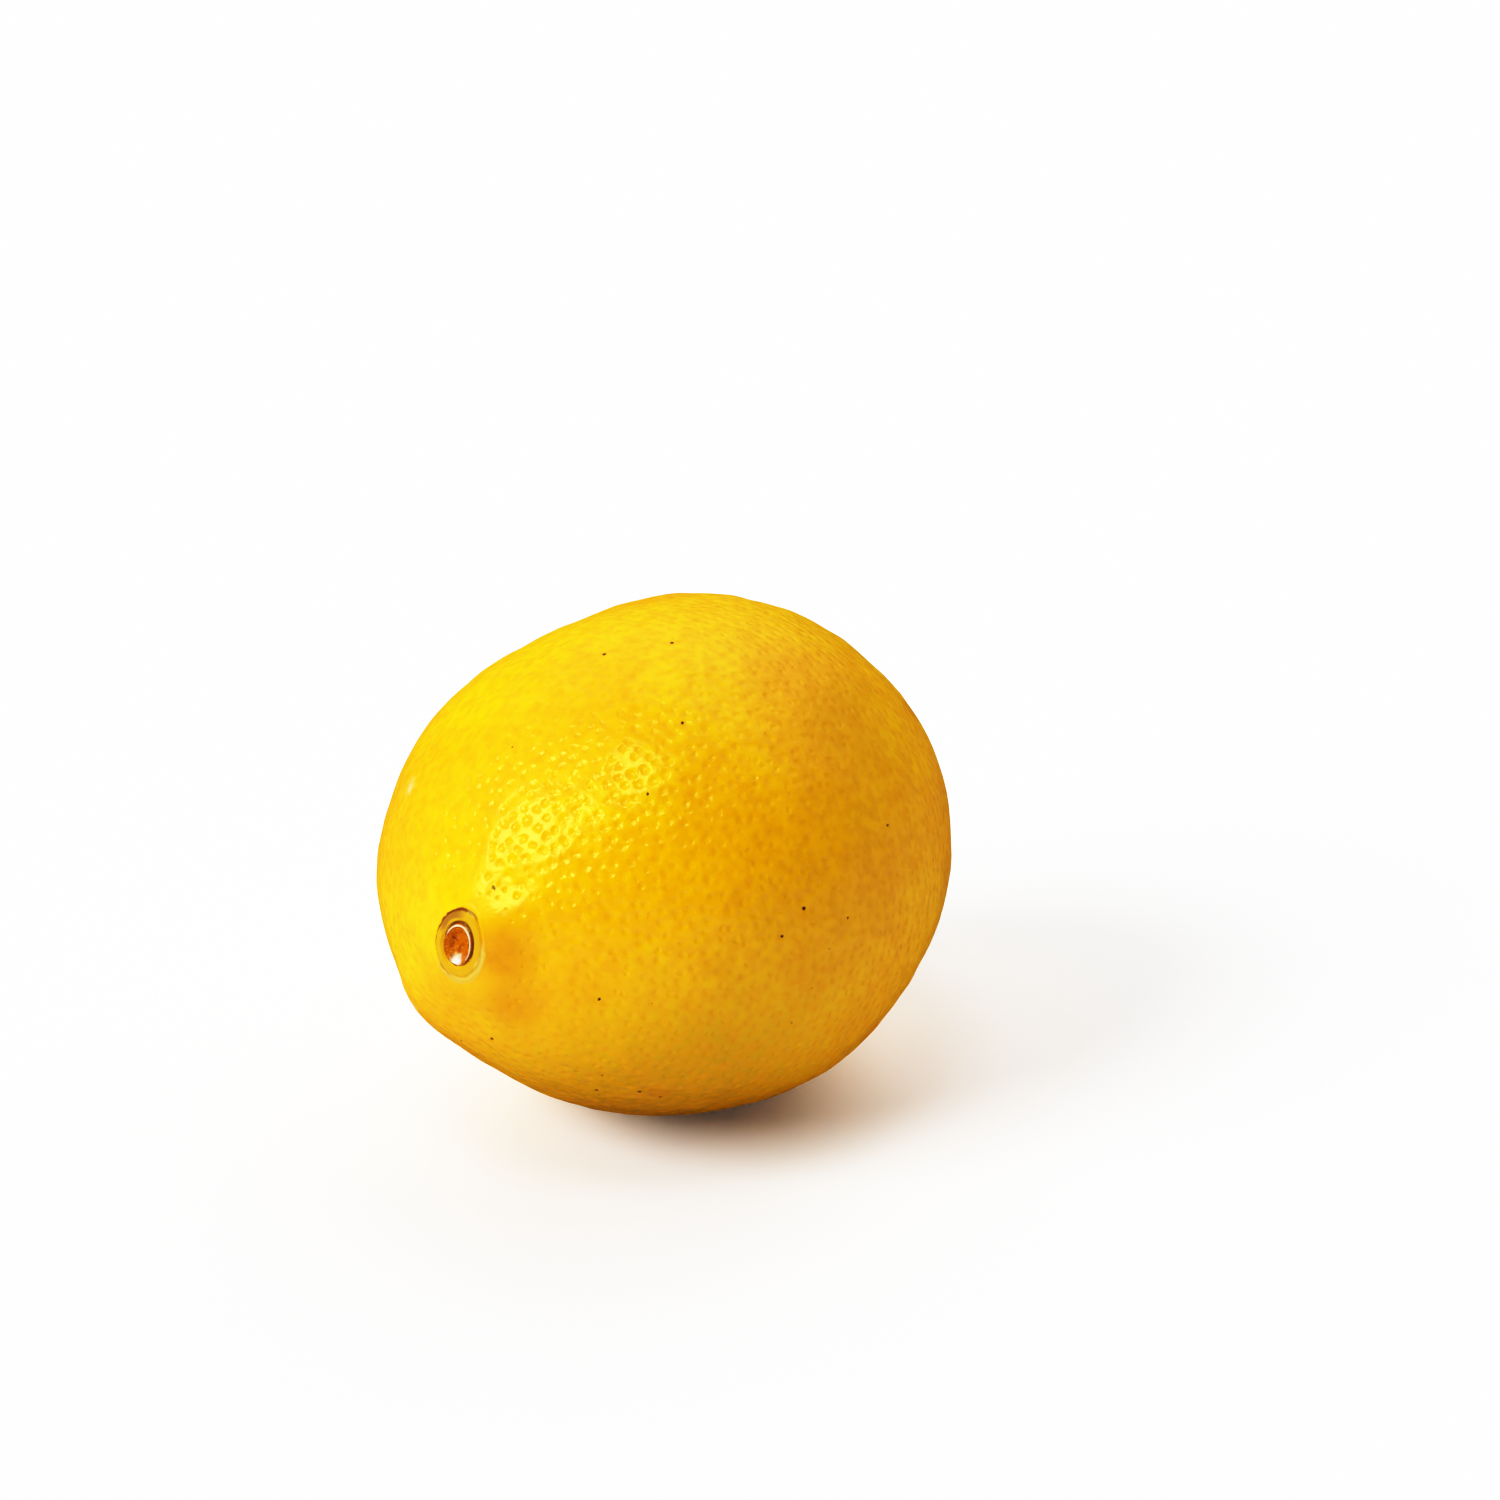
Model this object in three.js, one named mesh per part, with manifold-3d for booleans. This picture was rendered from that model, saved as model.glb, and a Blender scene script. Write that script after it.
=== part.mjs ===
// A whole lemon lying on its side, in millimetres, with Z up. The fruit's long axis runs along X,
// with the stem end at -X and the stylar tip at +X. It is one grown piece, so it is one mesh: a
// round fruit that is a little longer than it is wide, with a low collar and a shallow cup where
// the stalk came away, a blunt tip, the soft flats and swells of a real fruit, and a small flat
// spot underneath that it rests on.
import * as THREE from 'three';
import { ParametricGeometry } from 'three/addons/geometries/ParametricGeometry.js';
import { mergeVertices } from 'three/addons/utils/BufferGeometryUtils.js';
import Module from 'manifold-3d';

// The fruit's body: two half ovals that meet at its widest ring.
const EQUATOR_RADIUS = 30.4;
const STEM_HALF_LENGTH = 34;
const TIP_HALF_LENGTH = 35;
const STEM_FULLNESS = 1.96; // 2 is an ellipse, and more is boxier
const TIP_FULLNESS = 2.14;
const FLATTENING = 0.03; // how far the widest ring is from round, wider across than high

// The ends of the fruit.
const COLLAR_HEIGHT = 1.5;
const COLLAR_RADIUS = 8;
const COLLAR_STEEPNESS = 4; // the collar has a flat top, and the tip below is a soft bell
const TIP_HEIGHT = 2.5;
const TIP_RADIUS = 7.5;
const TIP_STEEPNESS = 2;

// The stem scar: a cup with a raised rim, and a corky ring around it.
const CUP_RADIUS = 2.4;
const CUP_DEPTH = 0.55;
const RIM_RADIUS = 2.9;
const RIM_HEIGHT = 0.25;
const RING_RADIUS = 4.2;
const SCAR_EDGE_RADIUS = 4.9;

// How the fruit lies.
const AXIS_TILT = THREE.MathUtils.degToRad(3.3); // the stem end is raised by this much
const REST_FLAT_DEPTH = 0.45; // how much is missing below for the flat spot

// Soft flats (below zero) and swells of the skin. Each is this high at its middle, which lies at
// theta from the stem end and at phi round the axis, where 90 is up, and it fades over its spread.
const UNDULATIONS = [
  { height: -1.5, spread: 0.37, theta: 87, phi: 56 },
  { height: 0.7, spread: 0.23, theta: 96, phi: 225 },
  { height: 0.7, spread: 0.13, theta: 40, phi: 359 },
  { height: 1.6, spread: 0.19, theta: 33, phi: 315 },
  { height: -0.4, spread: 0.07, theta: 36, phi: 330 },
  { height: 0.4, spread: 0.35, theta: 110, phi: 76 },
  { height: -0.35, spread: 0.16, theta: 100, phi: 138 },
];

// How finely the surface is divided.
const COLUMNS = 64;
const BODY_ROWS = 34;

const PEEL = new THREE.MeshStandardMaterial({ color: 0xf2bd00, roughness: 0.35, metalness: 0 });

/** The unit vector at angle theta from the stem end and phi round the fruit's axis. */
function directionAt(theta, phi) {
  const across = Math.sin(theta);
  return new THREE.Vector3(-Math.cos(theta), across * Math.cos(phi), across * Math.sin(phi));
}

const SWELLS = UNDULATIONS.map(({ height, spread, theta, phi }) => ({
  height,
  spread,
  middle: directionAt(THREE.MathUtils.degToRad(theta), THREE.MathUtils.degToRad(phi)),
}));

/** Height of the soft flats and swells in a direction. */
function undulation(direction) {
  const heightOf = ({ height, spread, middle }) =>
    height * Math.exp((direction.dot(middle) - 1) / spread ** 2);
  return SWELLS.reduce((sum, swell) => sum + heightOf(swell), 0);
}

/** A bump that is 1 on the axis and fades round the given width, faster the steeper it is. */
function bump(radius, width, steepness) {
  return Math.exp(-((radius / width) ** steepness));
}

// The scar from its middle outwards: distance from the axis, and height over the collar.
const SCAR_STATIONS = [
  [0, -CUP_DEPTH],
  [CUP_RADIUS, -CUP_DEPTH],
  [RIM_RADIUS, RIM_HEIGHT],
  [(RIM_RADIUS + RING_RADIUS) / 2, 0],
  [RING_RADIUS, RIM_HEIGHT / 2],
  [SCAR_EDGE_RADIUS, 0],
];

/** Height of the stem scar over the collar, at a distance from the axis. */
function scarRelief(radius) {
  const next = SCAR_STATIONS.findIndex(([station]) => station > radius);
  if (next < 0) return 0;
  const [innerRadius, innerHeight] = SCAR_STATIONS[next - 1];
  const [outerRadius, outerHeight] = SCAR_STATIONS[next];
  const share = (radius - innerRadius) / (outerRadius - innerRadius);
  return THREE.MathUtils.lerp(innerHeight, outerHeight, share);
}

/** The fruit's profile at angle theta from the stem end: [place along the axis, radius]. */
function profile(theta) {
  const stemSide = theta < Math.PI / 2;
  const fullness = stemSide ? STEM_FULLNESS : TIP_FULLNESS;
  const along = Math.abs(Math.cos(theta));
  const across = Math.sin(theta);
  const size = (along ** fullness + across ** fullness) ** (-1 / fullness);
  const radius = size * across * EQUATOR_RADIUS;
  if (stemSide) {
    const collar = COLLAR_HEIGHT * bump(radius, COLLAR_RADIUS, COLLAR_STEEPNESS);
    return [-size * along * STEM_HALF_LENGTH - collar - scarRelief(radius), radius];
  }
  const tip = TIP_HEIGHT * bump(radius, TIP_RADIUS, TIP_STEEPNESS);
  return [size * along * TIP_HALF_LENGTH + tip, radius];
}

// Angles of the rows: one on each station of the scar, then evenly spaced ones to the tip.
const ROW_ANGLES = SCAR_STATIONS.map(([radius]) => Math.asin(radius / EQUATOR_RADIUS));
const LAST_SCAR_ANGLE = ROW_ANGLES[ROW_ANGLES.length - 1];
for (let row = 1; row <= BODY_ROWS; row += 1) {
  ROW_ANGLES.push(THREE.MathUtils.lerp(LAST_SCAR_ANGLE, Math.PI, row / BODY_ROWS));
}

/** Sets target to the skin at u round the axis and v along the rows, both from 0 to 1. */
function skinPoint(u, v, target) {
  const theta = ROW_ANGLES[Math.round(v * (ROW_ANGLES.length - 1))];
  const phi = 2 * Math.PI * (u % 1);
  const [x, radius] = profile(theta);
  const direction = directionAt(theta, phi);
  const wide = radius * (1 + FLATTENING * Math.cos(2 * phi));
  target.set(x, wide * Math.cos(phi), wide * Math.sin(phi));
  target.addScaledVector(direction, undulation(direction));
}

/** The geometry with shared corners merged, and without the slivers left at its poles. */
function merged(geometry) {
  geometry.deleteAttribute('normal');
  geometry.deleteAttribute('uv');
  const joined = mergeVertices(geometry);
  const corners = joined.index.array;
  const kept = [];
  for (let at = 0; at < corners.length; at += 3) {
    const [a, b, c] = corners.slice(at, at + 3);
    if (a !== b && b !== c && c !== a) kept.push(a, b, c);
  }
  joined.setIndex(kept);
  return joined;
}

/** The first geometry with the second cut away. */
async function cutAway(geometry, cutter) {
  const wasm = await Module();
  wasm.setup();
  const [body, tool] = [geometry, cutter].map((shape) => {
    const { attributes, index } = merged(shape);
    const vertProperties = Float32Array.from(attributes.position.array);
    const triVerts = Uint32Array.from(index.array);
    return new wasm.Manifold(new wasm.Mesh({ numProp: 3, vertProperties, triVerts }));
  });
  const { vertProperties, triVerts } = body.subtract(tool).getMesh();
  const result = new THREE.BufferGeometry();
  result.setAttribute('position', new THREE.BufferAttribute(vertProperties, 3));
  result.setIndex(new THREE.BufferAttribute(triVerts, 1));
  return result;
}

/** Lays the fruit down, cuts its flat spot and puts the spot's plane at z = 0, centred above it. */
async function restingFruit() {
  const skin = new ParametricGeometry(skinPoint, COLUMNS, ROW_ANGLES.length - 1);
  skin.rotateY(AXIS_TILT);
  skin.computeBoundingBox();
  const floor = skin.boundingBox.min.z + REST_FLAT_DEPTH;
  const blockSide = 4 * EQUATOR_RADIUS;
  const block = new THREE.BoxGeometry(blockSide, blockSide, blockSide);
  block.translate(0, 0, floor - blockSide / 2);
  const fruit = await cutAway(skin, block);
  fruit.computeBoundingBox();
  const middle = fruit.boundingBox.getCenter(new THREE.Vector3());
  fruit.translate(-middle.x, -middle.y, -floor);
  fruit.computeVertexNormals();
  return fruit;
}

const lemon = new THREE.Mesh(await restingFruit(), PEEL);
lemon.name = 'lemon_fruit';

const part = new THREE.Group();
part.add(lemon);

export default part;
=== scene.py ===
"""A whole ripe lemon lying on its side on a pale floor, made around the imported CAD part.

The stem end is at -X and the stylar tip at +X. theta is the angle from the stem end, and phi is
the angle round the fruit's axis, where 90 degrees is up and 180 degrees is towards -Y.
The fruit is worked out in millimetres, and its mesh is made in metres.
"""

import bpy
import numpy as np
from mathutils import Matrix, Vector


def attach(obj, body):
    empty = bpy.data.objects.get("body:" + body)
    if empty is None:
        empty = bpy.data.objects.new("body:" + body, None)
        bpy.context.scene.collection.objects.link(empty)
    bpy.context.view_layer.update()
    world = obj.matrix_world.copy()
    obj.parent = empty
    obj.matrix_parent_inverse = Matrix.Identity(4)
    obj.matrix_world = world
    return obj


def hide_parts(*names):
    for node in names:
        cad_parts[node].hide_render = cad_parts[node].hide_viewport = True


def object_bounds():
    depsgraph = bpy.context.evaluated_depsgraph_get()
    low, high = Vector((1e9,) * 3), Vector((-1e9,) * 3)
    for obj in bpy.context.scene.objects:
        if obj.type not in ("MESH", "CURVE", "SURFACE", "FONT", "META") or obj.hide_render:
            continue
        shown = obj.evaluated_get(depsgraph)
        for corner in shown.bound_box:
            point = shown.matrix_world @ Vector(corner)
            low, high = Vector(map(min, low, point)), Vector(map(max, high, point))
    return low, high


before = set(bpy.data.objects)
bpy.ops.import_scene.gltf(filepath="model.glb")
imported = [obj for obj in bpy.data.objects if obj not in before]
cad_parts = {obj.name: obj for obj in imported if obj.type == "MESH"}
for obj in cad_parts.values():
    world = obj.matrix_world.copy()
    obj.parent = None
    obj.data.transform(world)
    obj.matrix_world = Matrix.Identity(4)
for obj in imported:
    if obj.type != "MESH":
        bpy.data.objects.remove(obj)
cad_low, cad_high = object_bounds()

# ---------------------------------------------------------------------------
# The body of the fruit. It grew as one piece: two half ovals that meet at the widest ring, with
# a low collar round the stem scar, a blunt stylar tip, and the soft flats and swells of a fruit
# that pressed against its neighbours on the branch.

# A half oval's fullness is 2 for an ellipse, and more is boxier. Flattening makes the widest ring
# wider across than high.
EQUATOR_RADIUS = 30.4
STEM_HALF_LENGTH = 34.0
TIP_HALF_LENGTH = 35.0
STEM_FULLNESS = 1.96
TIP_FULLNESS = 2.14
FLATTENING = 0.03

COLLAR_HEIGHT = 1.5
COLLAR_RADIUS = 8.0
COLLAR_STEEPNESS = 4
TIP_HEIGHT = 2.5
TIP_RADIUS = 7.5
TIP_STEEPNESS = 2

# Height of each flat or swell, its spread, and its middle's theta and phi in degrees.
UNDULATIONS = (
    (-1.5, 0.37, 87, 56),
    (0.7, 0.23, 96, 225),
    (0.7, 0.13, 40, 359),
    (1.6, 0.19, 33, 315),
    (-0.4, 0.07, 36, 330),
    (0.4, 0.35, 110, 76),
    (-0.35, 0.16, 100, 138),
)


def direction(theta, phi):
    """Unit vectors at theta from the stem end and phi round the axis."""
    across = np.sin(theta)
    parts = (-np.cos(theta), across * np.cos(phi), across * np.sin(phi))
    return np.stack(np.broadcast_arrays(*parts), axis=-1)


def undulation(towards):
    """Sum of bells: height * exp((cos(angle to the middle) - 1) / spread squared)."""
    total = np.zeros(towards.shape[:-1])
    for swell, spread, from_stem, round_axis in UNDULATIONS:
        middle = direction(np.radians(from_stem), np.radians(round_axis))
        total += swell * np.exp((towards @ middle - 1) / spread**2)
    return total


def body_profile(theta):
    """Place along the axis and radius at theta: a superellipse on each half, with its end's bump."""
    stem_side = theta < np.pi / 2
    fullness = np.where(stem_side, STEM_FULLNESS, TIP_FULLNESS)
    along, across = np.abs(np.cos(theta)), np.sin(theta)
    size = (along**fullness + across**fullness) ** (-1 / fullness)
    radius = size * across * EQUATOR_RADIUS
    collar = COLLAR_HEIGHT * np.exp(-((radius / COLLAR_RADIUS) ** COLLAR_STEEPNESS))
    tip = TIP_HEIGHT * np.exp(-((radius / TIP_RADIUS) ** TIP_STEEPNESS))
    stem_x = -size * along * STEM_HALF_LENGTH - collar
    tip_x = size * along * TIP_HALF_LENGTH + tip
    return np.where(stem_side, stem_x, tip_x), radius


def body_points(theta, phi):
    """The smooth body: the profile turned about the axis, flattened a little and undulating."""
    x, radius = body_profile(theta)
    wide = radius * (1 + FLATTENING * np.cos(2 * phi))
    parts = (x, wide * np.cos(phi), wide * np.sin(phi))
    smooth = np.stack(np.broadcast_arrays(*parts), axis=-1)
    towards = direction(theta, phi)
    return smooth + undulation(towards)[..., None] * towards


# The grid of the skin: rows run from the stem end to the tip. The scar's row gap holds out to the
# first distance along the skin and the skin's from the second, and both are scaled to fit ROWS.
COLUMNS = 420
ROWS = 236
SCAR_ROW_GAP = 0.12
SKIN_ROW_GAP = 0.50
SCAR_ROWS_END = 5.4
SKIN_ROWS_START = 11.0
PROFILE_STEPS = 4000
SMALLEST_CROSS = 1e-9

fine_theta = np.linspace(0, np.pi, PROFILE_STEPS + 1)
fine_x, fine_radius = body_profile(fine_theta)
fine_step = np.hypot(np.diff(fine_x), np.diff(fine_radius))
fine_distance = np.concatenate([[0], np.cumsum(fine_step)])
row_gap = np.interp(fine_distance, [SCAR_ROWS_END, SKIN_ROWS_START], [SCAR_ROW_GAP, SKIN_ROW_GAP])
rows_passed = np.concatenate([[0], np.cumsum(fine_step / row_gap[1:])])
rows_passed *= ROWS / rows_passed[-1]
row_theta = np.interp(np.arange(ROWS + 1), rows_passed, fine_theta)[:, None]
column_phi = (np.arange(COLUMNS) * 2 * np.pi / COLUMNS)[None, :]
row_distance = np.interp(row_theta, fine_theta, fine_distance)
row_radius = body_profile(row_theta)[1]
body = body_points(row_theta, column_phi)


def outward(points):
    """Unit normals of a closed grid: across the differences to its neighbours both ways."""
    along = np.gradient(points, axis=0)
    around = np.roll(points, -1, axis=1) - np.roll(points, 1, axis=1)
    across = np.cross(around, along)
    length = np.linalg.norm(across, axis=-1, keepdims=True)
    away = direction(row_theta, column_phi)
    unit = np.where(length > SMALLEST_CROSS, across / np.maximum(length, SMALLEST_CROSS), away)
    return unit * np.sign((unit * away).sum(-1, keepdims=True))


# ---------------------------------------------------------------------------
# The stem scar, where the ripe fruit broke from its stalk. From the middle outwards: a shallow
# bowl of hardened sap and wood ends, its thin raised rim, a cracked crevice, a smooth collar and
# an uneven corky ring. The skin round it is drawn into a few low folds.

# Distance from the axis, and height over the skin, from the middle of the bowl outwards.
SCAR_STATIONS = (
    (0.0, -0.62),
    (1.0, -0.60),
    (1.72, -0.10),
    (2.00, 0.20),
    (2.34, -0.16),
    (2.70, 0.08),
    (3.40, 0.12),
    (3.66, -0.05),
    (3.90, 0.08),
    (4.35, 0.02),
    (4.9, 0.0),
)
# The scar is an oval: which way its rings are longest, and their length and width if 1 is round.
OVAL_PHI = 109
OVAL_LENGTH = 1.2
OVAL_WIDTH = 0.86
# Waves that take the rings out of true: share of the radius, number and turn of each.
OUTLINE_WAVES = ((0.025, 3, 1.1), (0.012, 7, 0.0))
# Height, number and turn of each wave of folds, then where along the skin they stand tallest.
FOLD_WAVES = ((0.16, 7, 0.8), (0.08, 3, -0.5))
FOLD_DISTANCE = 9.5
FOLD_WIDTH = 3.2


def waves_round(phi, waves):
    """Sum of cosine waves round the axis, each with its height, its number and its turn."""
    return sum(tall * np.cos(count * phi + turned) for tall, count, turned in waves)


def oval_radius(radius, phi):
    """Distance from the axis, scaled so that an oval ring of the scar has one value all round:
    its part along the oval over the length, and its part across over the width."""
    turned = phi - np.radians(OVAL_PHI)
    return radius * np.hypot(np.cos(turned) / OVAL_LENGTH, np.sin(turned) / OVAL_WIDTH)


def scar_relief(radius, phi):
    """Height of the scar: the stations joined by half cosine waves, on rings that aren't round."""
    radii, heights = np.array(SCAR_STATIONS).T
    from_axis = oval_radius(radius, phi) / (1 + waves_round(phi, OUTLINE_WAVES))
    station = np.clip(np.searchsorted(radii, from_axis, side="right") - 1, 0, len(radii) - 2)
    share = np.clip((from_axis - radii[station]) / (radii[station + 1] - radii[station]), 0, 1)
    eased = (1 - np.cos(np.pi * share)) / 2
    return heights[station] + (heights[station + 1] - heights[station]) * eased


def folds(distance, phi):
    """Low radial folds in the collar: cosine waves round the axis that fade as a bell."""
    return waves_round(phi, FOLD_WAVES) * np.exp(-(((distance - FOLD_DISTANCE) / FOLD_WIDTH) ** 2))


relief = scar_relief(row_radius, column_phi) * (row_theta < np.pi / 2) + folds(row_distance, column_phi)

# ---------------------------------------------------------------------------
# The stylar scar, where the flower's style fell from the tip: a pinhead pit in a puckered dent.

# Height and radius of the pit and the dent; then height, number and turn of each wave of puckers.
STYLE_PIT = (-0.25, 0.5)
STYLE_DENT = (-0.12, 1.8)
PUCKER_WAVES = ((0.05, 5, 0.4), (0.03, 8, 1.7))
PUCKER_RADIUS = 2.0
PUCKER_WIDTH = 1.1

tip_side = row_theta > np.pi / 2
for hollow_height, hollow_radius in (STYLE_PIT, STYLE_DENT):
    relief = relief + hollow_height * np.exp(-((row_radius / hollow_radius) ** 2)) * tip_side
pucker_place = np.exp(-(((row_radius - PUCKER_RADIUS) / PUCKER_WIDTH) ** 2)) * tip_side
relief = relief + waves_round(column_phi, PUCKER_WAVES) * pucker_place

# ---------------------------------------------------------------------------
# The skin's unevenness: long low lumps that break up the reflections of a waxy peel. The whole
# skin is set back by about the height of the tallest, so that none stands out past the fruit.

# Wavelength and height of each size of lump.
LUMPS = ((15.0, 0.05), (6.5, 0.035), (3.2, 0.016))
WAVES_PER_SIZE = 24
# The lumps grow to their full height over this distance from the scar's edge.
LUMPS_GROW_OVER = 7.0
SET_BACK = 0.12

chance = np.random.default_rng(7)


def lumps(points, wavelength, typical_height):
    """A random field: the sum of many sine waves of one length in random directions, scaled so
    that its usual height stays the same however many they are."""
    ways = chance.normal(size=(WAVES_PER_SIZE, 3))
    ways *= 2 * np.pi / wavelength / np.linalg.norm(ways, axis=1, keepdims=True)
    phases = chance.uniform(0, 2 * np.pi, WAVES_PER_SIZE)
    waves = np.sin(points @ ways.T + phases)
    return typical_height * waves.sum(-1) * np.sqrt(2 / WAVES_PER_SIZE)


beyond_scar = np.clip((row_distance - SCAR_STATIONS[-1][0]) / LUMPS_GROW_OVER, 0, 1)
relief = relief - SET_BACK
for lump_length, lump_height in LUMPS:
    relief = relief + lumps(body, lump_length, lump_height) * beyond_scar

# ---------------------------------------------------------------------------
# Oil glands. Citrus peel is packed with little round sacs of oil under its skin, and each one
# shows as a dimple with a slightly darker floor. They lie in rings, shifted off them at random.

# The shift is a share of the spacing and of the ring gap. A gland reaches past halfway to its
# nearest neighbour by no more than the overlap.
GLAND_SPACING = 1.62
RING_GAP = 1.42
GLAND_SHIFT = 0.27
GLAND_RADII = (0.55, 1.0)
GLAND_OVERLAP = 0.04
SMALLEST_GLAND = 0.15
GLAND_DEPTH = 0.03
# Glands grow to their full size between these distances from the stem end.
GLANDS_START = 5.8
GLANDS_FULL = 10.0
SMALLEST_SHARE = 0.01

ring_distance = np.arange(RING_GAP / 2, fine_distance[-1], RING_GAP)
ring_radius = np.interp(ring_distance, fine_distance, fine_radius)
glands_in_ring = np.maximum(1, np.round(2 * np.pi * ring_radius / GLAND_SPACING)).astype(int)
table = (len(ring_distance), glands_in_ring.max())
round_shift, long_shift = chance.uniform(-GLAND_SHIFT, GLAND_SHIFT, (2, *table))
ring_turn = chance.uniform(0, 1, (table[0], 1))
gland_turns = (np.arange(table[1]) + ring_turn + round_shift) / glands_in_ring[:, None]
gland_distance = ring_distance[:, None] + long_shift * RING_GAP
gland_theta = np.interp(gland_distance, fine_distance, fine_theta)
gland_points = body_points(gland_theta, 2 * np.pi * gland_turns)


def nearest_glands(distance, phi, points):
    """Ring, number and distance of the glands nearest to points, nearest first, from the rings
    on either side of each point."""
    rings, numbers, gaps = [], [], []
    for ring_step in (-1, 0, 1):
        its_ring = np.floor(distance / RING_GAP).astype(int) + ring_step
        its_ring = np.clip(its_ring, 0, table[0] - 1) + np.zeros(phi.shape, int)
        in_ring = glands_in_ring[its_ring]
        middle = np.round(phi / (2 * np.pi) * in_ring - ring_turn[its_ring, 0]).astype(int)
        for number_step in (-1, 0, 1):
            its_number = (middle + number_step) % in_ring
            rings.append(its_ring)
            numbers.append(its_number)
            gaps.append(np.linalg.norm(gland_points[its_ring, its_number] - points, axis=-1))
    order = np.argsort(gaps, axis=0)
    return [np.take_along_axis(np.array(each), order, axis=0) for each in (rings, numbers, gaps)]


neighbour_gap = nearest_glands(gland_distance, 2 * np.pi * gland_turns, gland_points)[2][1]
gland_size = chance.uniform(*GLAND_RADII, table)
gland_size = np.minimum(gland_size, neighbour_gap / 2 + GLAND_OVERLAP).clip(SMALLEST_GLAND)
grown = (gland_distance - GLANDS_START) / (GLANDS_FULL - GLANDS_START)
gland_size *= np.clip(grown, SMALLEST_SHARE, 1)

near_rings, near_numbers, near_gaps = nearest_glands(row_distance, column_phi, body)
dimple = np.clip(1 - (near_gaps[0] / gland_size[near_rings[0], near_numbers[0]]) ** 2, 0, 1)
relief = relief - GLAND_DEPTH * dimple

skin = body + outward(body) * relief[..., None]

# ---------------------------------------------------------------------------
# Specks: pin-sized brown marks left by insects and rubbing leaves, a few of them larger.

# Theta and phi of the marks that stand out most, to the nearest 5 degrees, and their size across.
NOTED_SPECKS = (
    (45, 240, 0.55),
    (50, 230, 0.5),
    (55, 230, 0.4),
    (70, 170, 0.5),
    (65, 175, 0.4),
    (15, 115, 0.45),
    (50, 130, 0.35),
    (65, 120, 0.4),
    (80, 100, 0.45),
    (70, 90, 0.5),
    (95, 160, 0.4),
    (80, 175, 0.35),
    (30, 195, 0.4),
    (25, 265, 0.45),
)
# The rest are scattered at random, and the cosine of theta keeps them off both ends.
SCATTERED_SPECKS = 60
SPECK_SIZES = (0.12, 0.34)
POLE_COSINE = 0.97

noted_theta, noted_phi, noted_size = np.array(NOTED_SPECKS).T
scattered_theta = np.arccos(chance.uniform(-POLE_COSINE, POLE_COSINE, SCATTERED_SPECKS))
scattered_phi = chance.uniform(0, 2 * np.pi, SCATTERED_SPECKS)
speck_theta = np.concatenate([np.radians(noted_theta), scattered_theta])
speck_phi = np.concatenate([np.radians(noted_phi), scattered_phi])
speck_size = np.concatenate([noted_size, chance.uniform(*SPECK_SIZES, SCATTERED_SPECKS)])
speck_points = body_points(speck_theta, speck_phi)

# ---------------------------------------------------------------------------
# The fruit as it lies: turned by its tilt, pressed flat where it rests, and seated on the frame.

AXIS_TILT = np.radians(3.3)
REST_FLAT_DEPTH = 0.45
MM = 0.001


def laid_down(points):
    """Points turned about Y by the fruit's tilt, which raises the stem end."""
    x, y, z = np.moveaxis(points, -1, 0)
    turned_x = x * np.cos(AXIS_TILT) + z * np.sin(AXIS_TILT)
    turned_z = z * np.cos(AXIS_TILT) - x * np.sin(AXIS_TILT)
    return np.stack([turned_x, y, turned_z], axis=-1)


laid_body, laid = laid_down(body), laid_down(skin)
body_low, body_high = laid_body.min((0, 1)), laid_body.max((0, 1))
seat = (body_low + body_high) / 2 - np.array((cad_low + cad_high) / 2) / MM
seat[2] = body_low[2] + REST_FLAT_DEPTH
laid = laid - seat
laid[..., 2] = np.maximum(laid[..., 2], 0)


def pole_and_rings(grid):
    """The values of a grid as a list of vertices: one for each end ring, and all between."""
    rows, columns = grid.shape[:2]
    between = grid[1:-1].reshape((rows - 2) * columns, *grid.shape[2:])
    return np.concatenate([grid[:1, 0], between, grid[-1:, 0]])


def closed_mesh(name, rings):
    """A mesh of rings of points, closed at each end by a fan on the end ring's single point.
    Its faces are in bands between the rings, from the first ring to the last."""
    rows, columns = rings.shape[:2]
    points = pole_and_rings(rings)
    inner = 1 + np.arange((rows - 2) * columns).reshape(rows - 2, columns)
    after = np.roll(inner, -1, axis=1)
    first = np.stack([np.zeros(columns, int), after[0], inner[0]], axis=-1)
    quads = np.stack([inner[:-1], after[:-1], after[1:], inner[1:]], axis=-1).reshape(-1, 4)
    last = np.stack([inner[-1], after[-1], np.full(columns, len(points) - 1)], axis=-1)
    mesh = bpy.data.meshes.new(name)
    mesh.from_pydata(points * MM, [], first.tolist() + quads.tolist() + last.tolist())
    mesh.shade_smooth()
    closed = bpy.data.objects.new(name, mesh)
    bpy.context.collection.objects.link(closed)
    return closed


def keep_on_mesh(piece, name, domain, values):
    """Stores numbers or vectors on the piece's vertices or faces, for its materials to read."""
    kind, field = ("FLOAT_VECTOR", "vector") if values.ndim == 2 else ("FLOAT", "value")
    layer = piece.data.attributes.new(name, kind, domain)
    layer.data.foreach_set(field, np.ascontiguousarray(values, np.float32).ravel())


# Each face keeps the middle and size of the one gland and the one speck that can reach it, and
# each vertex its place on the smooth body, so a material can draw both as round as they are.
fruit = closed_mesh("lemon_peel", laid)
stem_pole = body[0, 0] * [1, 0, 0]
keep_on_mesh(fruit, "from_stem_mm", "POINT", pole_and_rings(body - stem_pole))

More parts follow.
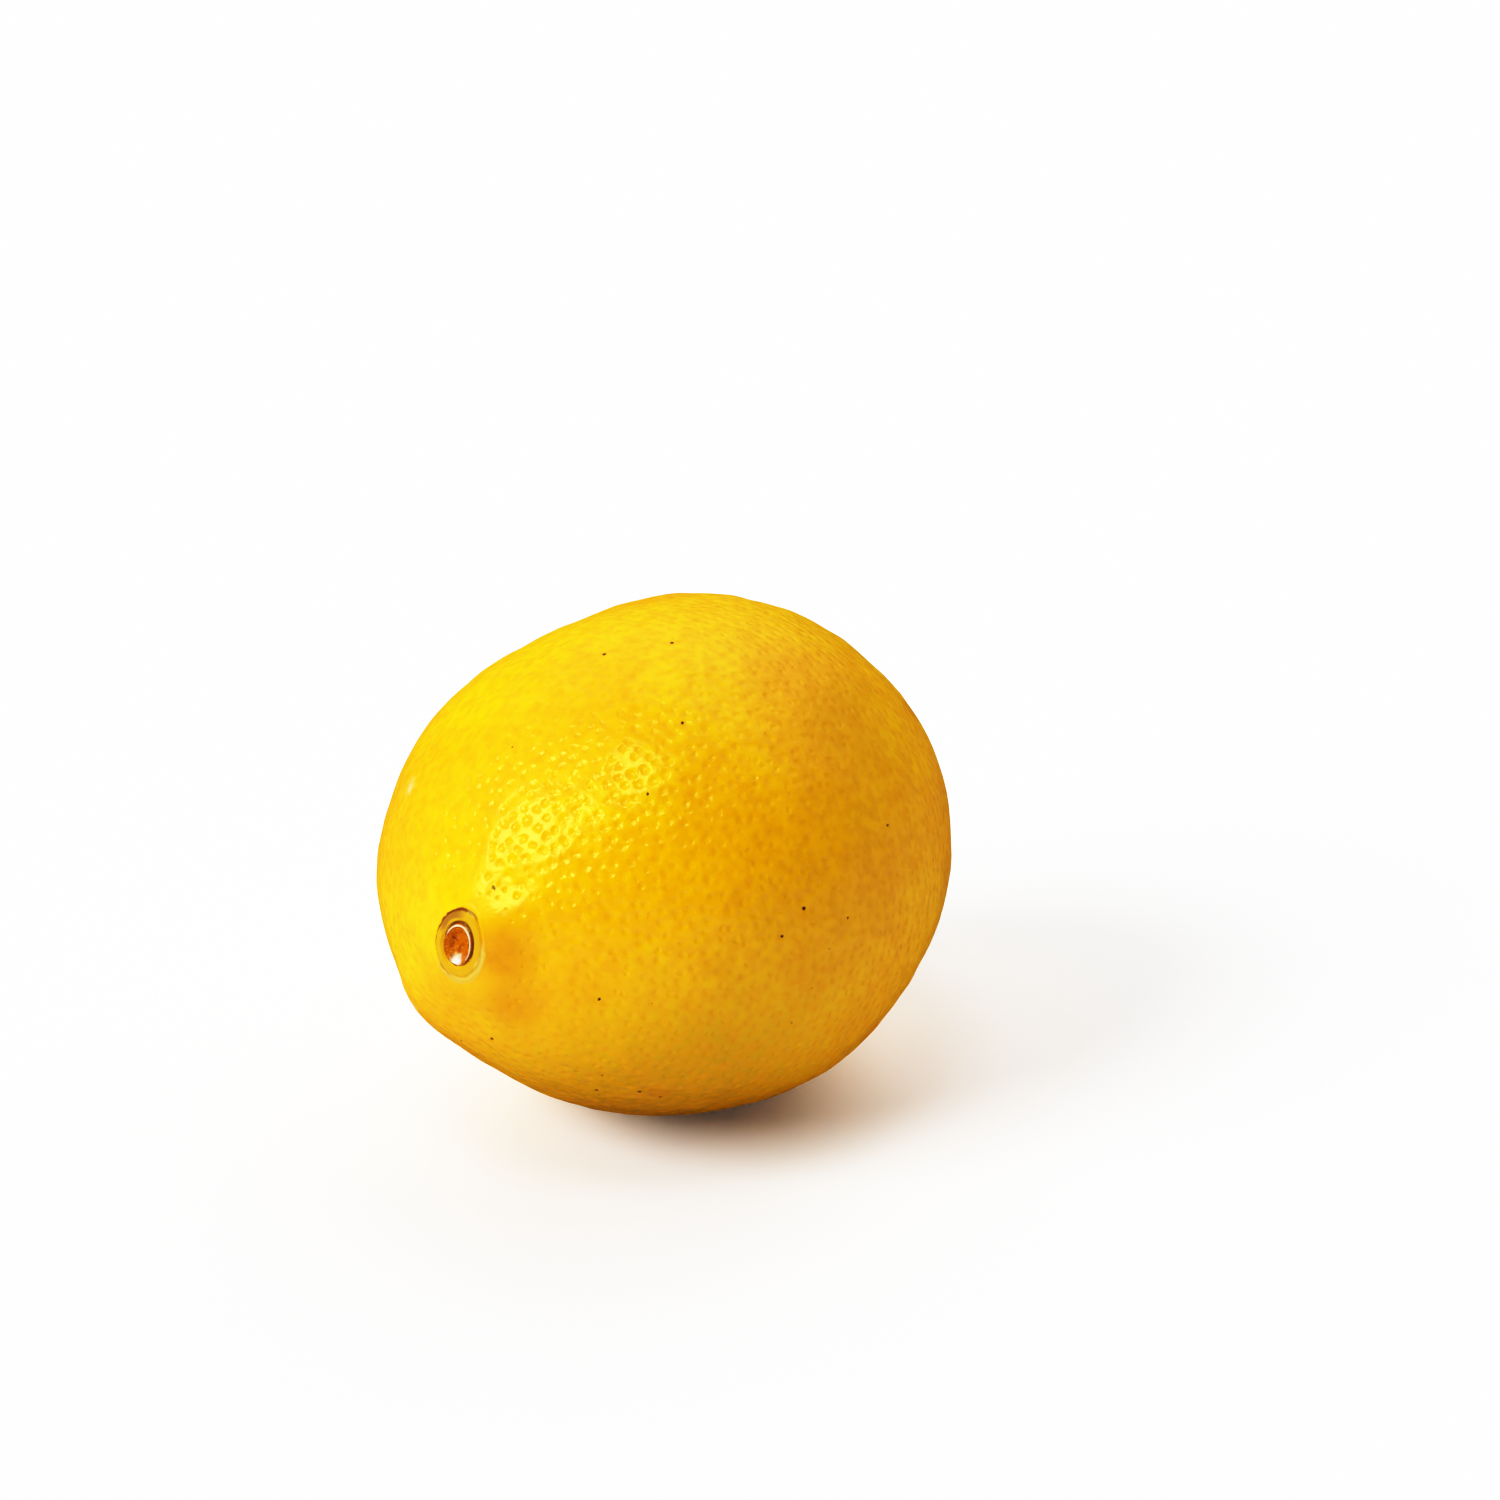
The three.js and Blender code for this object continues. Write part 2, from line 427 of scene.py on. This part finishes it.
band_theta = (row_theta[:-1] + row_theta[1:]) / 2
band_phi = column_phi + np.pi / COLUMNS
band_distance = np.interp(band_theta, fine_theta, fine_distance)
band_middle = body_points(band_theta, band_phi)
band_rings, band_numbers, _ = nearest_glands(band_distance, band_phi, band_middle)
own_gland = (band_rings[0], band_numbers[0])
keep_on_mesh(fruit, "gland_middle_mm", "FACE", gland_points[own_gland].reshape(-1, 3) - stem_pole)
keep_on_mesh(fruit, "gland_radius_mm", "FACE", gland_size[own_gland].ravel())

face_middle = band_middle.reshape(-1, 1, 3)
own_speck = np.linalg.norm(speck_points - face_middle, axis=-1).argmin(axis=-1)
keep_on_mesh(fruit, "speck_middle_mm", "FACE", speck_points[own_speck] - stem_pole)
keep_on_mesh(fruit, "speck_radius_mm", "FACE", speck_size[own_speck] / 2)

# ---------------------------------------------------------------------------
# Waxy lemon peel: ripe citrus skin under its own natural wax, grown and not polished. It gives
# the eye a saturated yellow, deeper in clouds and orange beside the scar, with painted shade low
# on the front and below, darker oil glands, and a satin gloss of yellow rings where the light
# meets the walls between the glands.

PEEL_YELLOW = "#f5bb00"
PEEL_DEEP = "#f0aa00"
MOTTLE_AMBER = "#dc9200"
GLAND_SHADE = "#e09a00"
SPECK_BROWN = "#442404"
COLLAR_OLIVE = "#c2920c"
CORK_BROWN = "#9a6a20"
CORK_CREAM = "#cca848"
CREVICE_BROWN = "#74420e"
STYLE_BROWN = "#6a4208"
WAX_GOLD = "#ffd800"

# Colour, theta and phi of each tinted place, its reach, how uneven its edge is, and its strength.
# The third is broad, and stands partly for the shade low on the front.
TINTS_AND_PAINTED_SHADE = (
    ("#dd8c00", 125, 180, 34, 0.15, 0.1),
    ("#c28f00", 99, 137, 12, 0.3, 0.25),
    ("#a07400", 64, 246, 40, 0.12, 0.88),
    ("#b87000", 9.8, 174, 6.0, 0.35, 0.75),
    ("#c47600", 17, 228, 6.0, 0.35, 0.5),
    ("#f4d898", 40, 36, 1.5, 0.5, 0.7),
    ("#f4d898", 34, 313, 1.3, 0.5, 0.7),
    ("#c07800", 53, 228, 3.2, 0.5, 0.5),
    ("#b86800", 128, 138, 2.2, 0.5, 0.5),
)
# Theta, phi, reach and uneven edge of the side where the glands show darkest; then how strongly
# they show all over, and how much more on that side.
SPOTTED_SIDE = (80, 185, 45, 0.1)
GLAND_TINT = 0.14
SPOTTED_TINT = 0.14
# Theta, phi, reach and uneven edge of the dark point at the tip.
STYLE_SPOT = (180, 0, 0.9, 0.3)
MOTTLE_STRENGTH = 0.44
COLLAR_STRENGTH = 0.85
STYLE_STRENGTH = 0.9

# Size of each noise in millimetres, and how many sizes of finer waves it has.
CLOUD_SIZE = 22.0
MOTTLE_SIZE = 1.5
RAGGED_SIZE = 0.9
GRAIN_SIZE = 1.8
SOFT_DETAIL = 2.0
NOISE_DETAIL = 3.0
FINE_DETAIL = 4.0
NOISE_MIDDLE = (0.5, 0.5, 0.5)

# Where each of these fades in: the value where there is none of it, and the value where it is full.
# The first two are shares of a gland's and a speck's radius, and the others are levels of noise.
GLAND_FADE = (1.1, 0.0)
SPECK_FADE = (1.25, 0.6)
CLOUD_FADE = (0.38, 0.62)
MOTTLE_FADE = (0.36, 0.66)
CRUMB_FADE = (0.26, 0.56)

# The edges of glands and specks stray by up to half of this each way, in millimetres.
RAGGED_BY = 0.6
# Relief in millimetres, and how strongly the wax and the skin show it.
GRAIN_HEIGHT = 0.15
GLAND_BUMP = -0.13
SPECK_BUMP = -0.05
WAX_BUMP_STRENGTH = 0.85
SKIN_BUMP_STRENGTH = 0.45

# Roughness of the skin without mottle and in it, then the gloss of the skin and of the wax.
PEEL_ROUGHNESS = (0.42, 0.58)
PEEL_SPECULAR = 0.12
WAX_WEIGHT = 0.4
WAX_ROUGHNESS = 0.22
WAX_IOR = 1.45

# Inner and outer radius of each ring of the scar and its softness, on the oval; then the middle
# phi of the part of the ring that shows, half its angle, and the softness of its ends.
COLLAR_RING = (2.3, 3.5, 0.15)
# The crevice's ring shows only on its upper and right part, where its brown is partly a crack and
# partly the rim's painted shadow.
CREVICE_RING = (2.12, 2.5, 0.1)
CREVICE_PART = (125, 80, 30)
EDGE_RING = (3.5, 3.76, 0.08)
EDGE_PART = (30, 95, 20)
CORK_PATCH_RING = (2.75, 3.7, 0.15)
CORK_PATCH_PART = (62, 32, 14)
CORK_BAND_RING = (3.45, 4.3, 0.1)
CORK_BAND_PART = (240, 72, 14)
CRUMB_SIZE = 0.45
# Size of the waves in the outline of the outer rings, and the span from their troughs to crests.
OUTLINE_SIZE = 1.1
OUTLINE_WOBBLE = 0.7

# Sockets of a colour mix: the colour below, the colour laid over it, and the result.
MIX_BELOW = 6
MIX_OVER = 7
MIX_RESULT = 2


def add_node(tree, kind, inputs, output=0, **settings):
    """Adds a shader node with its settings, links or sets its inputs, and gives one output."""
    node = tree.nodes.new("ShaderNode" + kind)
    for setting, choice in settings.items():
        setattr(node, setting, choice)
    for socket, value in inputs.items():
        if isinstance(value, bpy.types.NodeSocket):
            tree.links.new(value, node.inputs[socket])
        else:
            node.inputs[socket].default_value = value
    return node.outputs[output]


def linear(hex_colour):
    """The linear colour of an sRGB hex value such as "#f2b800", by the standard's own formula:
    dark channels are divided by 12.92, and bright ones rise with the power of 2.4."""
    channels = np.array([int(hex_colour[start : start + 2], 16) for start in (1, 3, 5)]) / 255
    low_part, high_part = channels / 12.92, ((channels + 0.055) / 1.055) ** 2.4
    return (*np.where(channels <= 0.04045, low_part, high_part).tolist(), 1.0)


def share_of_radius(tree, place, spot):
    """Distance of a place from the middle that its face keeps, over the radius that it keeps."""
    middle = add_node(tree, "Attribute", {}, "Vector", attribute_name=spot + "_middle_mm")
    reach = add_node(tree, "Attribute", {}, "Fac", attribute_name=spot + "_radius_mm")
    gap = add_node(tree, "VectorMath", {0: place, 1: middle}, "Value", operation="DISTANCE")
    return add_node(tree, "Math", {0: gap, 1: reach}, operation="DIVIDE")


def near_spot(tree, place, theta, phi, reach, wobble):
    """1 at a spot on the skin, fading to 0 at its reach in millimetres, with an uneven edge. Noise
    of half the reach pushes the edge by the wobble's share of it, and is 0.5 on average."""
    middle = tuple(body_points(np.radians(theta), np.radians(phi)) - stem_pole)
    gap = add_node(tree, "VectorMath", {0: place, 1: middle}, "Value", operation="DISTANCE")
    waves = {"Vector": place, "Scale": 2 / reach, "Detail": NOISE_DETAIL}
    push = {0: add_node(tree, "TexNoise", waves), 1: 2 * wobble * reach, 2: gap}
    pushed = add_node(tree, "Math", push, operation="MULTIPLY_ADD")
    edges = {"Value": pushed, "From Min": reach * (1 + wobble), "From Max": reach * wobble}
    return add_node(tree, "MapRange", edges, interpolation_type="SMOOTHSTEP")


def between_radii(tree, from_axis, inner, outer, soft):
    """1 between two radii of the scar, fading to 0 over a soft width on either side."""
    edges = {"Value": from_axis, "From Min": inner - soft, "From Max": inner + soft}
    inside = add_node(tree, "MapRange", edges, interpolation_type="SMOOTHSTEP")
    edges = {"Value": from_axis, "From Min": outer + soft, "From Max": outer - soft}
    outside = add_node(tree, "MapRange", edges, interpolation_type="SMOOTHSTEP")
    return add_node(tree, "Math", {0: inside, 1: outside}, operation="MULTIPLY")


def round_part(tree, bearing, phi, half_angle, soft):
    """1 within a half angle of phi round the axis, fading to 0 over a soft angle at its ends.
    The cosine of the angle from phi is the dot product of the bearing and phi's own bearing."""
    way = (0.0, np.cos(np.radians(phi)), np.sin(np.radians(phi)))
    cosine = add_node(tree, "VectorMath", {0: bearing, 1: way}, "Value", operation="DOT_PRODUCT")
    zero_at, one_at = np.cos(np.radians([half_angle + soft, half_angle - soft])).tolist()
    edges = {"Value": cosine, "From Min": zero_at, "From Max": one_at}
    return add_node(tree, "MapRange", edges, interpolation_type="SMOOTHSTEP")


def part_ring(tree, bearing, from_axis, radii, part):
    """The part of a ring of the scar that shows: its radii times its share of the turn."""
    whole = between_radii(tree, from_axis, *radii)
    shown = round_part(tree, bearing, *part)
    return add_node(tree, "Math", {0: whole, 1: shown}, operation="MULTIPLY")


def painted(tree, ground, layers):
    """A colour with layers of other colours mixed over it, each through its own mask."""
    top = linear(ground)
    for hex_colour, mask, strength in layers:
        cover = add_node(tree, "Math", {0: mask, 1: strength}, operation="MULTIPLY")
        mix = {"Factor": cover, MIX_BELOW: top, MIX_OVER: linear(hex_colour)}
        top = add_node(tree, "Mix", mix, MIX_RESULT, data_type="RGBA")
    return top


def scar_polar(tree, place):
    """The bearing of a place round the axis, as a unit vector, and its distance from the stem
    end's middle, scaled as in oval_radius."""
    across = add_node(tree, "VectorMath", {0: place, 1: (0.0, 1.0, 1.0)}, operation="MULTIPLY")
    bearing = add_node(tree, "VectorMath", {0: across}, operation="NORMALIZE")
    turn = {"Vector": place, "Angle": -np.radians(OVAL_PHI)}
    turned = add_node(tree, "VectorRotate", turn, rotation_type="X_AXIS")
    oval = {0: turned, 1: (1.0, 1 / OVAL_LENGTH, 1 / OVAL_WIDTH)}
    rounded = add_node(tree, "VectorMath", oval, operation="MULTIPLY")
    from_axis = add_node(tree, "VectorMath", {0: rounded}, "Value", operation="LENGTH")
    return bearing, from_axis


peel = bpy.data.materials.new("waxy_lemon_peel")
peel.use_nodes = True
peel_nodes = peel.node_tree
skin_place = add_node(peel_nodes, "Attribute", {}, "Vector", attribute_name="from_stem_mm")

# Glands and specks, each a little ragged at its edge.
waves = {"Vector": skin_place, "Scale": 1 / RAGGED_SIZE, "Detail": SOFT_DETAIL}
ragged_noise = add_node(peel_nodes, "TexNoise", waves, "Color")
centred = {0: ragged_noise, 1: NOISE_MIDDLE}
ragged_shift = add_node(peel_nodes, "VectorMath", centred, operation="SUBTRACT")
shifted = {0: ragged_shift, 1: 3 * (RAGGED_BY,), 2: skin_place}
ragged_place = add_node(peel_nodes, "VectorMath", shifted, operation="MULTIPLY_ADD")
gland_share = share_of_radius(peel_nodes, ragged_place, "gland")
fade = {"Value": gland_share, "From Min": GLAND_FADE[0], "From Max": GLAND_FADE[1]}
gland = add_node(peel_nodes, "MapRange", fade, interpolation_type="SMOOTHSTEP")
speck_share = share_of_radius(peel_nodes, ragged_place, "speck")
fade = {"Value": speck_share, "From Min": SPECK_FADE[0], "From Max": SPECK_FADE[1]}
speck = add_node(peel_nodes, "MapRange", fade, interpolation_type="SMOOTHSTEP")

# Clouds of colour over the fruit, the mottle of riper cells, and the tinted places, one of which
# is painted shade low on the front.
waves = {"Vector": skin_place, "Scale": 1 / CLOUD_SIZE, "Detail": NOISE_DETAIL}
cloud_noise = add_node(peel_nodes, "TexNoise", waves)
fade = {"Value": cloud_noise, "From Min": CLOUD_FADE[0], "From Max": CLOUD_FADE[1]}
clouds = add_node(peel_nodes, "MapRange", fade, interpolation_type="SMOOTHSTEP")
waves = {"Vector": skin_place, "Scale": 1 / MOTTLE_SIZE, "Detail": FINE_DETAIL}
mottle_noise = add_node(peel_nodes, "TexNoise", waves)
fade = {"Value": mottle_noise, "From Min": MOTTLE_FADE[0], "From Max": MOTTLE_FADE[1]}
mottle = add_node(peel_nodes, "MapRange", fade, interpolation_type="SMOOTHSTEP")
tints_and_shade = [
    (tint, near_spot(peel_nodes, skin_place, *where, reach, wobble), tint_strength)
    for tint, *where, reach, wobble, tint_strength in TINTS_AND_PAINTED_SHADE
]
spotted = near_spot(peel_nodes, skin_place, *SPOTTED_SIDE)
tinting = {0: spotted, 1: SPOTTED_TINT, 2: GLAND_TINT}
gland_darkness = add_node(peel_nodes, "Math", tinting, operation="MULTIPLY_ADD")
gland_tint = add_node(peel_nodes, "Math", {0: gland, 1: gland_darkness}, operation="MULTIPLY")

# The scar's outer rings: a smooth collar, a brown corky patch above, and a crumbly cream band of
# cork below. All but the crevice follow an outline that noise pushes in and out.
peel_bearing, scar_radius = scar_polar(peel_nodes, skin_place)
waves = {"Vector": skin_place, "Scale": 1 / OUTLINE_SIZE, "Detail": NOISE_DETAIL}
push = {0: add_node(peel_nodes, "TexNoise", waves), 1: OUTLINE_WOBBLE, 2: scar_radius}
pushed = add_node(peel_nodes, "Math", push, operation="MULTIPLY_ADD")
centring = {0: pushed, 1: OUTLINE_WOBBLE / 2}
uneven_radius = add_node(peel_nodes, "Math", centring, operation="SUBTRACT")
polar = (peel_nodes, peel_bearing, uneven_radius)
collar = between_radii(peel_nodes, uneven_radius, *COLLAR_RING)
# The crevice is darkened on its upper and right part only: partly a brown crack, partly the rim's
# painted shadow.
shadowed_crevice = part_ring(peel_nodes, peel_bearing, scar_radius, CREVICE_RING, CREVICE_PART)
waves = {"Vector": skin_place, "Scale": 1 / CRUMB_SIZE, "Detail": NOISE_DETAIL}
crumb_noise = add_node(peel_nodes, "TexNoise", waves)
fade = {"Value": crumb_noise, "From Min": CRUMB_FADE[0], "From Max": CRUMB_FADE[1]}
crumbs = add_node(peel_nodes, "MapRange", fade, interpolation_type="SMOOTHSTEP")
whole_band = part_ring(*polar, CORK_BAND_RING, CORK_BAND_PART)
cork_band = add_node(peel_nodes, "Math", {0: whole_band, 1: crumbs}, operation="MULTIPLY")

peel_colour = painted(peel_nodes, PEEL_YELLOW, (
    (PEEL_DEEP, clouds, 1.0),
    *tints_and_shade,
    (MOTTLE_AMBER, mottle, MOTTLE_STRENGTH),
    (GLAND_SHADE, gland_tint, 1.0),
    (COLLAR_OLIVE, collar, COLLAR_STRENGTH),
    (CORK_CREAM, cork_band, 1.0),
    (CORK_BROWN, part_ring(*polar, CORK_PATCH_RING, CORK_PATCH_PART), 1.0),
    (CREVICE_BROWN, part_ring(*polar, EDGE_RING, EDGE_PART), 1.0),
    (CREVICE_BROWN, shadowed_crevice, 1.0),
    (STYLE_BROWN, near_spot(peel_nodes, skin_place, *STYLE_SPOT), STYLE_STRENGTH),
    (SPECK_BROWN, speck, 1.0),
))

# Relief in millimetres: glands and specks sink in, and a fine grain lies over all. The wax shows
# most of it, and the skin below about half, because light spreads inside it.
waves = {"Vector": skin_place, "Scale": 1 / GRAIN_SIZE, "Detail": NOISE_DETAIL}
grain_noise = add_node(peel_nodes, "TexNoise", waves)
grain = add_node(peel_nodes, "Math", {0: grain_noise, 1: GRAIN_HEIGHT}, operation="MULTIPLY")
dented = {0: gland, 1: GLAND_BUMP, 2: grain}
grain_and_glands = add_node(peel_nodes, "Math", dented, operation="MULTIPLY_ADD")
dented = {0: speck, 1: SPECK_BUMP, 2: grain_and_glands}
peel_height = add_node(peel_nodes, "Math", dented, operation="MULTIPLY_ADD")
wax = {"Height": peel_height, "Distance": MM, "Strength": WAX_BUMP_STRENGTH}
wax_relief = add_node(peel_nodes, "Bump", wax)
under_wax = {"Height": peel_height, "Distance": MM, "Strength": SKIN_BUMP_STRENGTH}
skin_relief = add_node(peel_nodes, "Bump", under_wax)
satin = {"Value": mottle, "To Min": PEEL_ROUGHNESS[0], "To Max": PEEL_ROUGHNESS[1]}
peel_roughness = add_node(peel_nodes, "MapRange", satin)

peel_shader = peel_nodes.nodes["Principled BSDF"]
peel_nodes.links.new(peel_colour, peel_shader.inputs["Base Color"])
peel_nodes.links.new(peel_roughness, peel_shader.inputs["Roughness"])
peel_nodes.links.new(skin_relief, peel_shader.inputs["Normal"])
peel_nodes.links.new(wax_relief, peel_shader.inputs["Coat Normal"])
peel_shader.inputs["Specular IOR Level"].default_value = PEEL_SPECULAR
peel_shader.inputs["Specular Tint"].default_value = linear(WAX_GOLD)
peel_shader.inputs["Coat Weight"].default_value = WAX_WEIGHT
peel_shader.inputs["Coat Roughness"].default_value = WAX_ROUGHNESS
peel_shader.inputs["Coat IOR"].default_value = WAX_IOR

# ---------------------------------------------------------------------------
# Dried sap over wood ends, in the bowl of the scar. The sap ran out and set when the stalk broke,
# so it is glassy, lumpy and amber with dark blots, inside a thin pale rim of wood. A white glint
# is painted at the foot of the bowl, and the rim's pale upper and right arc is partly a painted
# highlight.

SAP_AMBER = "#b46400"
SAP_DARK = "#8a4000"
SAP_PALE = "#d0a040"
RIM_CREAM_AND_HIGHLIGHT = "#d8c8a8"
PAINTED_GLINT_WHITE = "#f0e8d8"
# Radius out to which the bowl has this finish, and the radii between which its edge darkens.
SAP_EDGE = 2.34
SAP_CREVICE = (2.12, 2.24)
# Radii and softness of the rim's pale ring; then the middle phi, half angle and soft ends of the arc
# that shows, which is partly pale wood and partly a painted highlight.
RIM_RING = (1.92, 2.1, 0.06)
RIM_PART = (130, 95, 12)
# Theta, phi, reach and uneven edge of the painted white glint at the foot of the bowl.
PAINTED_GLINT_SPOT = (4.0, 276, 1.05, 0.25)
BLOT_SIZE = 0.62
BLOT_FADE = (0.5, 0.68)
FIBRE_SIZE = 0.38
FIBRE_FADE = (0.3, 0.1)
FIBRE_STRENGTH = 0.6
SAP_RELIEF = 0.25
# Roughness of the clear sap and of its dark blots.
SAP_ROUGHNESS = (0.12, 0.3)
SAP_SPECULAR = 0.3

sap = bpy.data.materials.new("dried_sap_scar")
sap.use_nodes = True
sap_nodes = sap.node_tree
sap_place = add_node(sap_nodes, "Attribute", {}, "Vector", attribute_name="from_stem_mm")
sap_bearing, sap_radius = scar_polar(sap_nodes, sap_place)
waves = {"Vector": sap_place, "Scale": 1 / BLOT_SIZE, "Detail": FINE_DETAIL}
blot_noise = add_node(sap_nodes, "TexNoise", waves)
fade = {"Value": blot_noise, "From Min": BLOT_FADE[0], "From Max": BLOT_FADE[1]}
dark_blots = add_node(sap_nodes, "MapRange", fade, interpolation_type="SMOOTHSTEP")
cells = add_node(sap_nodes, "TexVoronoi", {"Vector": sap_place, "Scale": 1 / FIBRE_SIZE})
fade = {"Value": cells, "From Min": FIBRE_FADE[0], "From Max": FIBRE_FADE[1]}
fibres = add_node(sap_nodes, "MapRange", fade, interpolation_type="SMOOTHSTEP")
fade = {"Value": sap_radius, "From Min": SAP_CREVICE[0], "From Max": SAP_CREVICE[1]}
dark_edge = add_node(sap_nodes, "MapRange", fade, interpolation_type="SMOOTHSTEP")
# The rim's cream arc is partly pale wood and partly a painted highlight, and the white spot at the foot
# of the bowl is a painted glint.
sap_colour = painted(sap_nodes, SAP_AMBER, (
    (SAP_DARK, dark_blots, 1.0),
    (SAP_PALE, fibres, FIBRE_STRENGTH),
    (RIM_CREAM_AND_HIGHLIGHT, part_ring(sap_nodes, sap_bearing, sap_radius, RIM_RING, RIM_PART), 1.0),
    (PAINTED_GLINT_WHITE, near_spot(sap_nodes, sap_place, *PAINTED_GLINT_SPOT), 1.0),
    (CREVICE_BROWN, dark_edge, 1.0),
))
sap_height = add_node(sap_nodes, "Math", {0: blot_noise, 1: SAP_RELIEF}, operation="MULTIPLY")
sap_bump = add_node(sap_nodes, "Bump", {"Height": sap_height, "Distance": MM})
glassy = {"Value": dark_blots, "To Min": SAP_ROUGHNESS[0], "To Max": SAP_ROUGHNESS[1]}
sap_roughness = add_node(sap_nodes, "MapRange", glassy)
sap_shader = sap_nodes.nodes["Principled BSDF"]
sap_nodes.links.new(sap_colour, sap_shader.inputs["Base Color"])
sap_nodes.links.new(sap_roughness, sap_shader.inputs["Roughness"])
sap_nodes.links.new(sap_bump, sap_shader.inputs["Normal"])
sap_shader.inputs["Specular IOR Level"].default_value = SAP_SPECULAR

fruit.data.materials.clear()
fruit.data.materials.append(peel)
fruit.data.materials.append(sap)
band_radius = oval_radius(body_profile(band_theta)[1], band_phi)
in_bowl = (band_theta < np.pi / 2) & (band_radius < SAP_EDGE)
fruit.data.polygons.foreach_set("material_index", in_bowl.astype(np.int32).ravel())

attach(fruit, "root")
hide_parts("lemon_fruit")

# ---------------------------------------------------------------------------
# The floor: a plain sheet of white acrylic, matt enough that it mirrors nothing.

FLOOR_HALF_SIDE = 4.0
FLOOR_WHITE = 0.97
FLOOR_GLOW = 0.09
FLOOR_ROUGHNESS = 0.4

floor_corners = FLOOR_HALF_SIDE * np.array([(-1, -1, 0), (1, -1, 0), (1, 1, 0), (-1, 1, 0)])
floor_mesh = bpy.data.meshes.new("studio_floor")
floor_mesh.from_pydata(floor_corners.tolist(), [], [(0, 1, 2, 3)])
floor = bpy.data.objects.new("studio_floor", floor_mesh)
bpy.context.collection.objects.link(floor)
acrylic = bpy.data.materials.new("white_acrylic_sheet")
acrylic.use_nodes = True
acrylic_shader = acrylic.node_tree.nodes["Principled BSDF"]
acrylic_shader.inputs["Base Color"].default_value = (FLOOR_WHITE, FLOOR_WHITE, FLOOR_WHITE, 1)
acrylic_shader.inputs["Emission Color"].default_value = (1, 1, 1, 1)
acrylic_shader.inputs["Emission Strength"].default_value = FLOOR_GLOW
acrylic_shader.inputs["Roughness"].default_value = FLOOR_ROUGHNESS
acrylic_shader.inputs["Specular IOR Level"].default_value = 0.0
floor_mesh.materials.append(acrylic)
floor.visible_glossy = False

# ---------------------------------------------------------------------------
# The camera stands off the fruit's stem end, a little above it.

CAMERA_AZIMUTH = -52.2
CAMERA_ELEVATION = 23.3
CAMERA_DISTANCE = 0.45
CAMERA_LENS = 94
# How far right and up of the body's own middle it aims, as it sees them, in millimetres.
AIM_RIGHT = 9.98
AIM_UP = 11.93


def seen_from(azimuth, elevation):
    """Unit vector towards a place in the sky: azimuth 0 is towards -Y, and 90 towards +X."""
    turned, raised = np.radians(azimuth), np.radians(elevation)
    level = np.cos(raised)
    return Vector((np.sin(turned) * level, -np.cos(turned) * level, np.sin(raised)))


to_camera = seen_from(CAMERA_AZIMUTH, CAMERA_ELEVATION)
camera_turn = to_camera.to_track_quat("Z", "Y")
aim = camera_turn @ Vector((AIM_RIGHT, AIM_UP, 0)) - Vector(seat)
camera = bpy.data.objects.new("camera", bpy.data.cameras.new("camera"))
bpy.context.collection.objects.link(camera)
camera.location = aim * MM + to_camera * CAMERA_DISTANCE
camera.rotation_mode = "QUATERNION"
camera.rotation_quaternion = camera_turn
camera.data.lens = CAMERA_LENS
bpy.context.scene.camera = camera

# ---------------------------------------------------------------------------
# Soft studio light: a big window to the left, an overhead panel and pale walls. The panels light
# the matt surfaces, two smaller warm lamps show only in the gloss of the wax, and the plain white
# backdrop behind the floor lights nothing.

# Name, azimuth, elevation, strength and width across in degrees.
PANELS = (
    ("window", -113, 33, 5.7, 34),
    ("overhead", -80, 75, 0.8, 20),
    ("left_wall", -160, 42, 1.4, 60),
    ("back_wall", 122, 40, 3.0, 60),
    ("right_wall", 72, 43, 1.75, 60),
    ("front_wall", 20, 40, 0.1, 60),
)
GLEAMS = (
    ("window_gleam", -108, 39, 9.5, 25),
    ("overhead_gleam", -66, 71, 3.2, 15),
)
PANEL_WHITE = (1, 1, 1)
GLEAM_GOLD = (1, 1, 0.25)
BACKDROP_STRENGTH = 2.7

for lamps, lamp_colour, in_gloss in ((PANELS, PANEL_WHITE, False), (GLEAMS, GLEAM_GOLD, True)):
    for lamp_name, lamp_azimuth, lamp_elevation, lamp_strength, lamp_width in lamps:
        lamp = bpy.data.objects.new(lamp_name, bpy.data.lights.new(lamp_name, "SUN"))
        bpy.context.collection.objects.link(lamp)
        lamp.data.energy = lamp_strength
        lamp.data.angle = np.radians(lamp_width)
        lamp.data.color = lamp_colour
        lamp.visible_glossy = in_gloss
        lamp.visible_diffuse = not in_gloss
        lamp.rotation_mode = "QUATERNION"
        lamp.rotation_quaternion = seen_from(lamp_azimuth, lamp_elevation).to_track_quat("Z", "Y")

world = bpy.data.worlds.new("studio")
bpy.context.scene.world = world
world.use_nodes = True
world.node_tree.nodes["Background"].inputs["Color"].default_value = (*PANEL_WHITE, 1)
world.node_tree.nodes["Background"].inputs["Strength"].default_value = BACKDROP_STRENGTH
world.cycles_visibility.diffuse = False
world.cycles_visibility.glossy = False

# The film's tone curve: 1 - exp(-(light to the power of its contrast)), up to its brightest light.
CONTRAST = 1.7
BRIGHTEST = 3.0
CURVE_POINTS = 16
# Of the four tone curves, this one works on all the channels.
ALL_CHANNELS = 3

film = bpy.context.scene.view_settings
film.view_transform = "Standard"
film.use_curve_mapping = True
film.curve_mapping.white_level = 3 * (BRIGHTEST,)
tone = film.curve_mapping.curves[ALL_CHANNELS]
for step in np.linspace(0, 1, CURVE_POINTS)[1:-1]:
    tone.points.new(step, 1 - np.exp(-((step * BRIGHTEST) ** CONTRAST)))
tone.points[-1].location = (1, 1)
film.curve_mapping.update()
